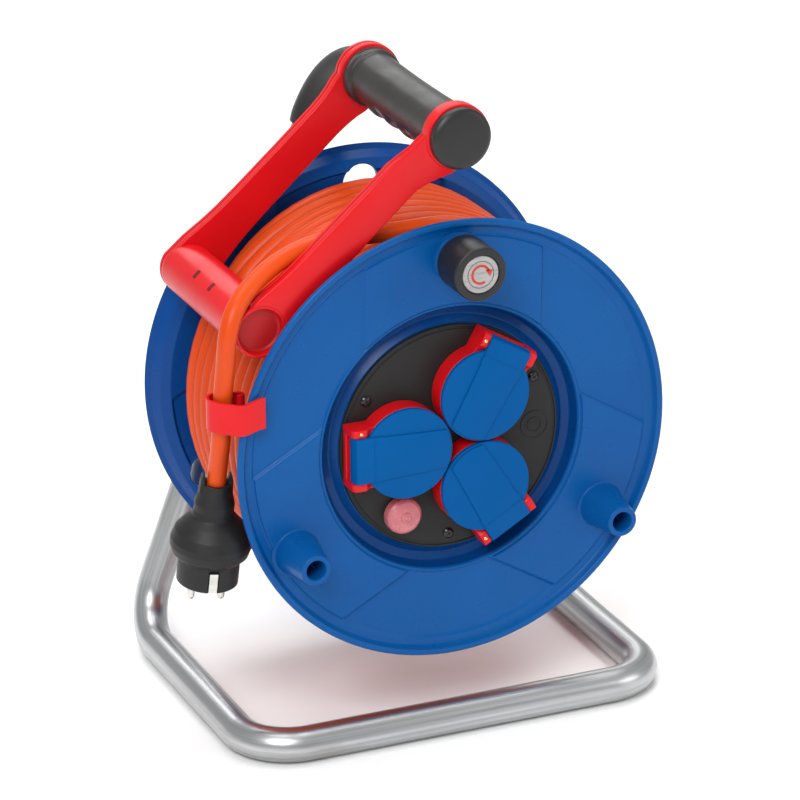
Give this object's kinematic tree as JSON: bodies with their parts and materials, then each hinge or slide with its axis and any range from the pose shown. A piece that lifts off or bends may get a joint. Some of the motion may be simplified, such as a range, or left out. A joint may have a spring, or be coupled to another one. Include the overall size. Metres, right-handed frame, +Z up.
{
  "type": "extension cord reel",
  "caption": "Extension cord reel: winding drum with covered outlets and crank knob on a bent steel tube frame, with carrying handle, cable guide, cable and plug.",
  "frame": {"origin": "floor level under the centre of the bounding box of everything but the free cord and its plug", "axes": "+Z up, the outlets face -Y, the cable guide is on the -X side, the drum turns about Y"},
  "size_m": [0.3278, 0.244, 0.4142],
  "materials": {
    "drum_blue": "moulded, smooth",
    "lid_blue": "fine satin",
    "red_plastic": "moulded, smooth",
    "black_plastic": "fine grain",
    "black_rubber": "soft, matt",
    "orange_sheath": "extruded cable sheath",
    "zinc_steel": "zinc plated, drawn",
    "brass_pin": "turned",
    "nickel_contact": "nickel plated",
    "label_face": "printed sticker",
    "soft_cover": "soft, slightly see-through",
    "button_red": "moulded"
  },
  "bodies": {
    "frame": {"tube_frame": "zinc_steel", "elbow_cover": "black_plastic", "leg_stopper": "black_plastic", "bearer_plate": "zinc_steel", "plate_rivet_left": "zinc_steel", "plate_rivet_right": "zinc_steel", "axle": "zinc_steel", "axle_clip": "zinc_steel", "front_washer": "zinc_steel", "axle_nut": "zinc_steel", "handle_grip": "black_rubber", "handle_end_cap": "black_plastic"},
    "drum": {"front_flange": "drum_blue", "rear_flange": "drum_blue", "drum_barrel": "drum_blue", "inner_web": "drum_blue", "front_bush": "black_plastic", "rear_bush": "black_plastic", "cord_winding": "orange_sheath", "outlet_panel": "black_plastic", "panel_screw_1": "zinc_steel", "panel_screw_2": "zinc_steel", "panel_screw_3": "zinc_steel", "thermal_cutout": "black_plastic", "reset_cover": "soft_cover", "socket_1": "black_plastic", "socket_2": "black_plastic", "socket_3": "black_plastic", "earth_strap_1": "nickel_contact", "earth_strap_2": "nickel_contact", "earth_strap_3": "nickel_contact", "outlet_collar_1": "red_plastic", "outlet_collar_2": "red_plastic", "outlet_collar_3": "red_plastic", "hinge_pin_1": "brass_pin", "hinge_pin_2": "brass_pin", "hinge_pin_3": "brass_pin", "lid_spring_1": "zinc_steel", "lid_spring_2": "zinc_steel", "lid_spring_3": "zinc_steel", "knob_pin": "zinc_steel", "stud_screw_left": "zinc_steel", "stud_screw_right": "zinc_steel"},
    "crank_knob": {"crank_knob": "black_plastic", "knob_label": "label_face"},
    "lid_1": {"lid_1": "lid_blue"},
    "lid_2": {"lid_2": "lid_blue"},
    "lid_3": {"lid_3": "lid_blue"},
    "reset_button": {"reset_button": "button_red"},
    "cable_guide": {"guide_rear": "red_plastic", "guide_front": "red_plastic", "cord_tail": "orange_sheath", "plug_body": "black_rubber", "plug_pin_a": "nickel_contact", "plug_pin_b": "nickel_contact", "plug_earth_a": "nickel_contact", "plug_earth_b": "nickel_contact", "cord_clip": "red_plastic"}
  },
  "joints": [
    {"name": "drum_spin", "type": "hinge", "parent": "frame", "child": "drum", "pos_m": [0, -0.088, 0.1936], "axis": [0, 1, 0], "continuous": true},
    {"name": "knob_spin", "type": "hinge", "parent": "drum", "child": "crank_knob", "pos_m": [0.00334, -0.088, 0.31305], "axis": [0, 1, 0], "continuous": true},
    {"name": "lid_1_hinge", "type": "hinge", "parent": "drum", "child": "lid_1", "pos_m": [-0.0663, -0.0926, 0.1936], "axis": [0, 0, -1], "range_deg": [0, 105], "stiffness_Nm_per_rad": 0.02, "springref_deg": -34.38},
    {"name": "lid_2_hinge", "type": "hinge", "parent": "drum", "child": "lid_2", "pos_m": [0.03315, -0.0926, 0.25102], "axis": [-0.866, 0, 0.5], "range_deg": [0, 105], "stiffness_Nm_per_rad": 0.02, "springref_deg": -34.38},
    {"name": "lid_3_hinge", "type": "hinge", "parent": "drum", "child": "lid_3", "pos_m": [0.03315, -0.0926, 0.13618], "axis": [0.866, 0, 0.5], "range_deg": [0, 105], "stiffness_Nm_per_rad": 0.02, "springref_deg": -34.38},
    {"name": "reset_press", "type": "slide", "parent": "drum", "child": "reset_button", "axis": [0, 1, 0], "range_m": [0, 0.002], "stiffness_N_per_m": 500, "springref_m": -0.002},
    {"name": "guide_swing", "type": "hinge", "parent": "frame", "child": "cable_guide", "pos_m": [0, -0.088, 0.3936], "axis": [0, 1, 0], "range_deg": [0, 35]}
  ]
}
